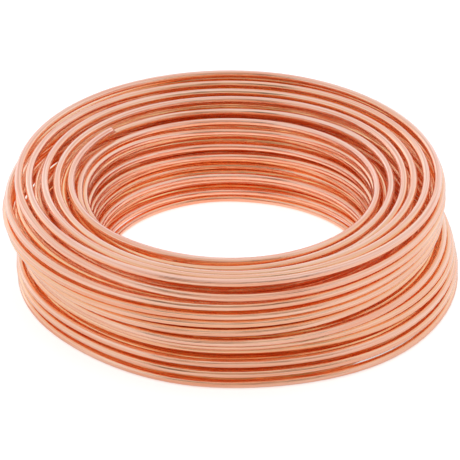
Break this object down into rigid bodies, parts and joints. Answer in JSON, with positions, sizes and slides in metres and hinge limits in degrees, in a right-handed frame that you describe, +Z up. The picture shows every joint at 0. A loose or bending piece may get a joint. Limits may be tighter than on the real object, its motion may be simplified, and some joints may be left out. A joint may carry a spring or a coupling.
{
  "type": "copper wire coil",
  "caption": "Round coil of bright bare copper wire lying flat: loose turns side by side and on each other, with a clear hole through the middle.",
  "frame": {"origin": "centre of the coil's footprint, on the surface that it lies on", "axes": "+Z up along the axis of the coil and of its clear hole; +X to the right and +Y away from the viewer who faces the coil"},
  "size_m": [0.195, 0.195, 0.0495],
  "materials": {
    "copper": "gloss"
  },
  "bodies": {
    "root": {"wire_coil": "copper"}
  },
  "joints": []
}
